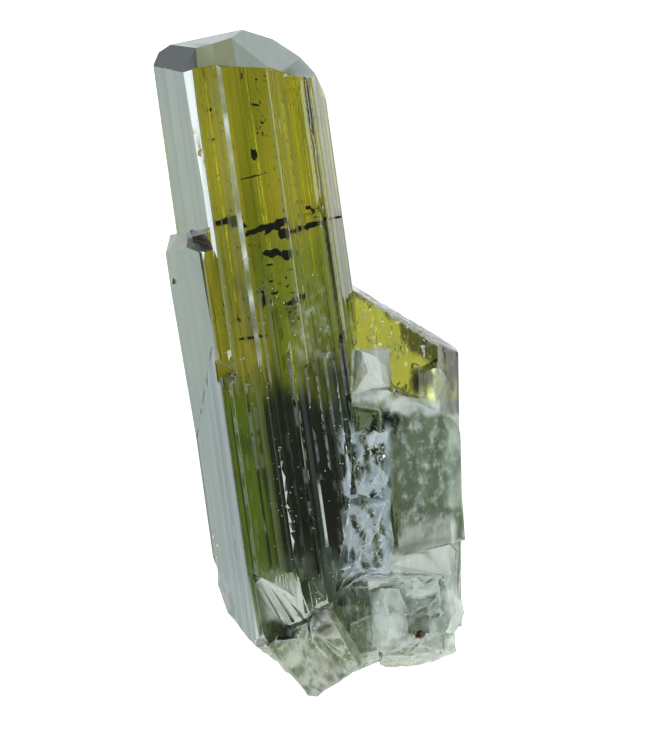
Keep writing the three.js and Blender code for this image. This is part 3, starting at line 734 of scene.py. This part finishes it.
def markFinish(piece):
    # writes each corner's own axes and finish for the material to read
    mesh = piece.data
    crests = crestsOf(mesh)
    for i, point in enumerate(v.co for v in mesh.vertices):
        crests[i] *= max(insideShare(point, place["box"]) for place in brokenPlaces.values())
    axes, colours, clears, roughs, veils = [], [], [], [], []
    for face in mesh.polygons:
        for corner in face.loop_indices:
            point = mesh.vertices[mesh.loops[corner].vertex_index].co
            tone, clear, rough, veil, owner = finishAt(spotOf(face, point))
            axes.extend(inAxes(owner, point))
            colours.extend((*tone, 1.0))
            clears.append(clear)
            roughs.append(rough)
            veils.append(veil)
    mesh.attributes.new("grainAxes", "FLOAT_VECTOR", "CORNER").data.foreach_set("vector", axes)
    mesh.attributes.new("tone", "FLOAT_COLOR", "CORNER").data.foreach_set("color", colours)
    mesh.attributes.new("clearness", "FLOAT", "CORNER").data.foreach_set("value", clears)
    mesh.attributes.new("coarseness", "FLOAT", "CORNER").data.foreach_set("value", roughs)
    mesh.attributes.new("veil", "FLOAT", "CORNER").data.foreach_set("value", veils)
    mesh.attributes.new("crest", "FLOAT", "POINT").data.foreach_set("value", crests)


bpy.ops.object.select_all(action="DESELECT")
crystals.select_set(True)
bpy.context.view_layer.objects.active = crystals
bpy.ops.object.shade_smooth_by_angle(angle=math.radians(12))
markFinish(crystals)
print("stage: finish is marked")


glassSettings = {
    "ior": 1.74,
    "density": 110,
    "absorption": "#e9eee4",
    "frost": "#e6efe9",
    # patterns, as the number of waves in 1 mm: across, along and up the crystal, or in x, y and z
    "streaks": (1.9, 0.06, 0.5),
    "fineLines": (7.0, 0.1, 3.0),
    "clouds": (1.3, 0.8, 1.0),
    "broad": 0.4,  # times the clouds' waves
    "lineDepth": 0.006,  # mm
    "lineStrength": 0.25,
    # how clear and how rough milky clouds and crushed crests are
    "cloudy": (0.12, 0.5),
    "crushed": (0.05, 0.6),
}


def epidoteGlass():
    # Epidote, a clear silicate of high index: a hard, bright gloss like glass, a deep olive to yellow glow
    # where light comes through, a silky sheen where growth lines crowd, and frosty white where it is broken.
    # The tone it reads also holds painted reflections, highlights and shade
    settings = glassSettings
    made = bpy.data.materials.new("epidote crystal")
    made.use_nodes = True
    tree = made.node_tree
    tree.nodes.clear()

    axes = addNode(tree, "ShaderNodeAttribute", attribute_name="grainAxes").outputs["Vector"]
    tone = addNode(tree, "ShaderNodeAttribute", attribute_name="tone").outputs["Color"]
    clear, rough, crest, veil = (
        addNode(tree, "ShaderNodeAttribute", attribute_name=n).outputs["Fac"]
        for n in ("clearness", "coarseness", "crest", "veil")
    )

    # long streaks along the crystal: about 0.5 mm across and 15 mm long
    stretched = addNode(tree, "ShaderNodeMapping", {"Vector": axes, "Scale": settings["streaks"]})
    streaks = addNode(
        tree, "ShaderNodeTexNoise", {"Vector": stretched.outputs["Vector"], "Scale": 1.0, "Detail": 3.0}
    ).outputs["Fac"]
    shade = addNode(
        tree,
        "ShaderNodeMapRange",
        {"Value": streaks, "From Min": 0.35, "From Max": 0.65, "To Min": 0.9, "To Max": 1.06},
    ).outputs["Result"]
    colour = addNode(
        tree, "ShaderNodeVectorMath", {0: tone, 1: shade}, operation="MULTIPLY"
    ).outputs["Vector"]
    # cloudy veils of tiny bubbles and cracks, about 1 mm across
    place = addNode(tree, "ShaderNodeTexCoord").outputs["Object"]
    waves = [count / mm for count in settings["clouds"]]
    drawn = addNode(tree, "ShaderNodeMapping", {"Vector": place, "Scale": waves})
    clouds = addNode(
        tree,
        "ShaderNodeTexNoise",
        {"Vector": drawn.outputs["Vector"], "Scale": 1.0, "Detail": 6.0, "Roughness": 0.65},
    ).outputs["Fac"]
    cloud = addNode(
        tree,
        "ShaderNodeMapRange",
        {"Value": clouds, "From Min": 0.48, "From Max": 0.66, "To Min": 0.0, "To Max": 1.0},
    ).outputs["Result"]
    # broader light and dark places in the milky parts
    broad = addNode(
        tree,
        "ShaderNodeTexNoise",
        {"Vector": drawn.outputs["Vector"], "Scale": settings["broad"], "Detail": 3.0},
    ).outputs["Fac"]
    shadow = addNode(
        tree,
        "ShaderNodeMapRange",
        {"Value": broad, "From Min": 0.38, "From Max": 0.6, "To Min": 0.5, "To Max": 1.1},
    ).outputs["Result"]
    darkened = addNode(
        tree, "ShaderNodeVectorMath", {0: colour, 1: shadow}, operation="MULTIPLY"
    ).outputs["Vector"]
    colour = addNode(tree, "ShaderNodeMix", {0: veil, 6: colour, 7: darkened}, data_type="RGBA").outputs[2]
    veiled = addNode(tree, "ShaderNodeMath", {0: cloud, 1: veil}, operation="MULTIPLY").outputs["Value"]
    # clouds and crushed crests lie over the tone as frost
    frost = linear(settings["frost"])
    for share, (layerClear, layerRough) in ((veiled, settings["cloudy"]), (crest, settings["crushed"])):
        colour = addNode(tree, "ShaderNodeMix", {0: share, 6: colour, 7: frost}, data_type="RGBA").outputs[2]
        clear = addNode(tree, "ShaderNodeMix", {0: share, 2: clear, 3: layerClear}).outputs[0]
        rough = addNode(tree, "ShaderNodeMix", {0: share, 2: rough, 3: layerRough}).outputs[0]

    # fine growth lines, about 0.15 mm apart, drawn a little coarser than the real ones so that they show
    fine = addNode(tree, "ShaderNodeMapping", {"Vector": axes, "Scale": settings["fineLines"]})
    fineLines = addNode(
        tree, "ShaderNodeTexNoise", {"Vector": fine.outputs["Vector"], "Scale": 1.0, "Detail": 2.0}
    ).outputs["Fac"]
    # the milky and silky parts show less of them
    shown = addNode(
        tree, "ShaderNodeMath", {0: clear, 1: settings["lineStrength"]}, operation="MULTIPLY"
    ).outputs["Value"]
    bump = addNode(
        tree,
        "ShaderNodeBump",
        {"Height": fineLines, "Strength": shown, "Distance": settings["lineDepth"] * mm},
    )
    surface = addNode(
        tree,
        "ShaderNodeBsdfPrincipled",
        {
            "Base Color": colour,
            "Roughness": rough,
            "Transmission Weight": clear,
            "IOR": settings["ior"],
            "Normal": bump.outputs["Normal"],
        },
    )
    inside = addNode(
        tree,
        "ShaderNodeVolumeAbsorption",
        {"Color": linear(settings["absorption"]), "Density": settings["density"]},
    )
    addNode(
        tree,
        "ShaderNodeOutputMaterial",
        {"Surface": surface.outputs["BSDF"], "Volume": inside.outputs["Volume"]},
    )
    return made


crystals.data.materials.append(epidoteGlass())
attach(crystals, "root")
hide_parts("epidote_crystals")
print("stage: crystals are finished")


def plainMaterial(name, settings):
    # a mineral that lets no light through: two tones in grains, and the same grains as a low bump
    made = bpy.data.materials.new(name)
    made.use_nodes = True
    tree = made.node_tree
    tree.nodes.clear()
    place = addNode(tree, "ShaderNodeTexCoord").outputs["Object"]
    speckle = addNode(
        tree, "ShaderNodeTexNoise", {"Vector": place, "Scale": 1 / (settings["grain"] * mm), "Detail": 3.0}
    ).outputs["Fac"]
    mixed = addNode(
        tree,
        "ShaderNodeMix",
        {0: speckle, 6: linear(settings["dark"]), 7: linear(settings["light"])},
        data_type="RGBA",
    ).outputs[2]
    depth = settings["grain"] * 0.1 * mm
    bump = addNode(tree, "ShaderNodeBump", {"Height": speckle, "Strength": 0.6, "Distance": depth})
    surface = addNode(
        tree,
        "ShaderNodeBsdfPrincipled",
        {"Base Color": mixed, "Roughness": settings["roughness"], "Normal": bump.outputs["Normal"]},
    )
    addNode(tree, "ShaderNodeOutputMaterial", {"Surface": surface.outputs["BSDF"]})
    return made


def finishPiece(name, parts, material):
    # joins the parts into one piece whose object sits at the origin
    bpy.ops.object.select_all(action="DESELECT")
    for part in parts:
        part.select_set(True)
    bpy.context.view_layer.objects.active = parts[0]
    bpy.ops.object.join()
    piece = bpy.context.object
    piece.name = name
    bpy.ops.object.transform_apply(location=True, rotation=True, scale=True)
    piece.data.materials.clear()
    piece.data.materials.append(material)
    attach(piece, "root")
    print("stage:", name, "has", len(piece.data.polygons), "faces")
    return piece


def onMain(across, along, up):
    # the point at a place in the main crystal's own axes, in mm
    start, toRight, toEnd = axesOf("main")
    return start + (toRight * across + toEnd * along) * mm + Vector((0, 0, up * mm))


flakeSettings = {"turn": (0, 3.1), "angular": (0.65, 1.25)}  # radians, and times the flake's size
bpy.ops.object.select_all(action="DESELECT")
bpy.ops.mesh.primitive_ico_sphere_add(subdivisions=1, radius=1, location=(0, 0, 0))
firstFlake = bpy.context.object


def flake(place, size, randomNumber):
    # a copy of the first flake with its own mesh, made angular and turned
    made = firstFlake.copy()
    made.data = firstFlake.data.copy()
    bpy.context.collection.objects.link(made)
    made.location = place
    made.scale = [s * mm for s in size]
    made.rotation_euler = [randomNumber.uniform(*flakeSettings["turn"]) for _ in range(3)]
    for vertex in made.data.vertices:
        vertex.co *= randomNumber.uniform(*flakeSettings["angular"])
    return made


def onSurface(x, y):
    # the point of the crystals right below x and y, in mm
    hit, place, _, _ = crystals.ray_cast(Vector((x, y, 30)) * mm, Vector((0, 0, -1)))
    return place if hit else None


# Dark specks inside the olive window: tiny flakes of darker mineral
speckSettings = {
    "count": 210,
    "across": (-2.4, 7.0),
    "along": (3, 26),
    "up": (2.5, 9),
    "size": (0.05, 0.17),
    "shape": (1, 1.5, 0.4),
    "swarm": (0.4, 0.25),  # waves of the swarms in 1 mm across and along
    "bare": -0.05,  # between the swarms
    "spot": {"place": (-12.25, 7.4), "size": (0.24, 0.3, 0.16)},  # one on the left face
    "seed": 19,
}
randomNumber = random.Random(speckSettings["seed"])
specks = []
while len(specks) < speckSettings["count"]:
    across, along, up = (randomNumber.uniform(*speckSettings[key]) for key in ("across", "along", "up"))
    swarm = speckSettings["swarm"]
    if noise.noise(Vector((across * swarm[0], along * swarm[1], 1))) < speckSettings["bare"]:
        continue
    size = randomNumber.uniform(*speckSettings["size"])
    shape = [size * share for share in speckSettings["shape"]]
    specks.append(flake(onMain(across, along, up), shape, randomNumber))
spot = speckSettings["spot"]
specks.append(flake(onSurface(*spot["place"]), spot["size"], randomNumber))
# An iron-rich mineral, nearly black, with a dull gloss that shows only where a flake faces the light
darkFlakes = {"dark": "#1c1606", "light": "#3b3010", "grain": 0.2, "roughness": 0.5}
finishPiece("dark_specks", specks, plainMaterial("dark mineral flakes", darkFlakes))

# The dark crack across the crystal, a few dark blots and a dark skin over the notch: ragged thin sheets. The
# crack's darkness is painted shade for the light its faces turn away, and the skin is painted shade only
crackSettings = {
    "cuts": (14, 8),
    "ragged": (0.75, 0.7),  # mean half length, and how much it changes from place to place
    "wavering": 0.25,
    "buckle": 0.3,
    "height": 0.5,  # mm, of one unit of buckle
    "tip": (0.35, 0.1),  # radians, toward the end and the right
    "thickness": 0.08,  # in units of the height
    # a sheet that lies on the crystal is the notch's painted shade
    "skin": 0.02,  # mm above the crystal, for a sheet that lies on it
    "skinThickness": 0.03,  # mm
    "outside": 12,  # mm: a sheet that starts higher than this lies on the crystal
}
# each sheet: its middle across, along and up, its half width and half length in mm, and its lean in degrees
crackSheets = [
    # the first sheet lies on the notch: a dark skin of painted shade, with no crack there
    ((-3.9, 11.6, 12.1), (1.35, 0.62), -50),
    ((-1.5, 13.0, 8.6), (1.25, 0.45), 6),
    ((-0.4, 12.4, 8.4), (0.8, 0.3), -12),
    ((0.9, 5.6, 8.9), (0.35, 0.9), -22),
    ((1.1, 11.75, 8.8), (1.25, 0.33), 14),
    ((2.9, 12.0, 8.8), (1.1, 0.62), 30),
    ((3.55, 11.2, 8.4), (0.45, 0.75), 10),
    ((4.7, 11.3, 8.8), (0.9, 0.28), 8),
    ((5.9, 11.5, 8.9), (0.95, 0.35), 10),
    ((6.3, 12.9, 9.3), (0.55, 0.28), -42),
    ((7.9, 11.9, 8.2), (1.0, 0.2), 4),
    ((2.35, 9.5, 8.7), (0.85, 0.42), -8),
    ((3.6, 9.2, 8.0), (0.5, 0.6), 4),
    ((1.3, 16.6, 7.4), (1.0, 0.1), 6),
    ((3.8, 5.1, 8.6), (0.9, 0.35), 22),
    ((-0.6, 2.3, 9.0), (1.2, 0.22), 0),
    ((2.6, 22.9, 9.2), (0.5, 0.12), -18),
    ((1.9, 18.6, 8.6), (0.2, 0.75), 8),
]


def settle(made):
    # drops a sheet onto the crystals, so that it lies on them as a skin: the notch's painted shade
    bpy.ops.object.transform_apply(location=True, rotation=True, scale=False)
    bpy.ops.object.transform_apply(location=False, rotation=False, scale=True)
    for vertex in made.data.vertices:
        found = onSurface(vertex.co.x / mm, vertex.co.y / mm)
        vertex.co.z = found.z + crackSettings["skin"] * mm if found else vertex.co.z


def crackSheet(place, halfSize, lean, seed):
    settings = crackSettings
    columns, rows = settings["cuts"]
    bpy.ops.object.select_all(action="DESELECT")
    bpy.ops.mesh.primitive_grid_add(x_subdivisions=columns, y_subdivisions=rows, size=2, location=(0, 0, 0))
    made = bpy.context.object
    mean, change = settings["ragged"]
    for vertex in made.data.vertices:
        x, y = vertex.co.x, vertex.co.y
        ragged = mean + change * noise.noise(Vector((x * 2.3, y * 1.5, seed * 3.3)))
        pinch = math.sqrt(max(0.0, 1.02 - x * x))  # narrows to a thin point at each end
        vertex.co.y = y * ragged * pinch
        vertex.co.x = x * (1 + settings["wavering"] * noise.noise(Vector((y * 2.0, seed, 7))))
        vertex.co.z = settings["buckle"] * noise.noise(Vector((x * 1.7, y * 1.7, seed)))
    made.scale = (halfSize[0] * mm, halfSize[1] * mm, settings["height"] * mm)
    made.rotation_euler = (*settings["tip"], math.radians(crystalAxes["main"]["lean"] + lean))
    made.location = onMain(*place)
    thickness = settings["thickness"]
    if place[2] > settings["outside"]:
        settle(made)
        thickness = settings["skinThickness"] * mm
    thick = made.modifiers.new("thickness", "SOLIDIFY")
    thick.thickness = thickness
    bpy.ops.object.modifier_apply(modifier=thick.name)
    return made


sheets = [crackSheet(*row, seed) for seed, row in enumerate(crackSheets)]
# The crack and the notch's skin: black-brown, a little glossy where it still touches the crystal. The
# black-brown is painted shade, not a stain
crackShade = {"dark": "#15140a", "light": "#353012", "grain": 0.5, "roughness": 0.35}
finishPiece("crack_and_notch_shade", sheets, plainMaterial("crack and notch shade", crackShade))

# Pale crumbs that cling to the surface, mostly near the foot and on the broken ridge
crumbSettings = {
    # count, left and right, lower and upper, smallest and largest half width, in mm
    "foot": (90, (-3.5, 3.0), (-20.5, -4.0), (0.02, 0.07)),
    "ridge": (90, (2.8, 7.2), (-19.5, -5.0), (0.04, 0.13)),
    "root": (70, (-2.5, 12.5), (-28.0, -19.0), (0.04, 0.12)),
    "edge": (70, (-11.2, -8.2), (-24.0, -15.5), (0.07, 0.2)),
    "front": (45, (-7.5, 1.5), (-4.0, 8.0), (0.03, 0.07)),
}
crumbShape = (1, 1.6, 0.7)
randomNumber = random.Random(31)
crumbs = []
for count, (left, right), (low, high), (small, large) in crumbSettings.values():
    for _ in range(count):
        place = onSurface(randomNumber.uniform(left, right), randomNumber.uniform(low, high))
        size = randomNumber.uniform(small, large)
        if place:
            crumbs.append(flake(place, [size * share for share in crumbShape], randomNumber))
# Crushed crystal: its many small broken faces scatter the light, so it looks white and dry, not clear
crushed = {"dark": "#cfd6cc", "light": "#ffffff", "grain": 0.15, "roughness": 0.4}
finishPiece("pale_crumbs", crumbs, plainMaterial("crushed crystal crumbs", crushed))

# Rusty crumbs beside the grain of iron oxide
rustSettings = {"count": 16, "x": (9.0, 9.75), "y": (-24.8, -24.1), "size": (0.06, 0.14), "flatness": 0.5}
crumbs = []
for _ in range(rustSettings["count"]):
    place = onSurface(randomNumber.uniform(*rustSettings["x"]), randomNumber.uniform(*rustSettings["y"]))
    size = randomNumber.uniform(*rustSettings["size"])
    crumbs.append(flake(place, (size, size, size * rustSettings["flatness"]), randomNumber))
# Iron hydroxide: an earthy orange-brown powder with hardly any gloss
ironStain = {"dark": "#7a4316", "light": "#dba868", "grain": 0.2, "roughness": 0.5}
finishPiece("rust_crumbs", crumbs, plainMaterial("iron stain", ironStain))

bpy.data.objects.remove(firstFlake)

# Iron oxide: a small hard grain, near black with rusty places, glossy where it is smooth
ironOxide = {"dark": "#0a0404", "light": "#5a1a0a", "grain": 0.35, "roughness": 0.3}
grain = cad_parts["rust_grain"]
grain.data.materials.clear()
grain.data.materials.append(plainMaterial("iron oxide grain", ironOxide))
print("stage: grain is finished")
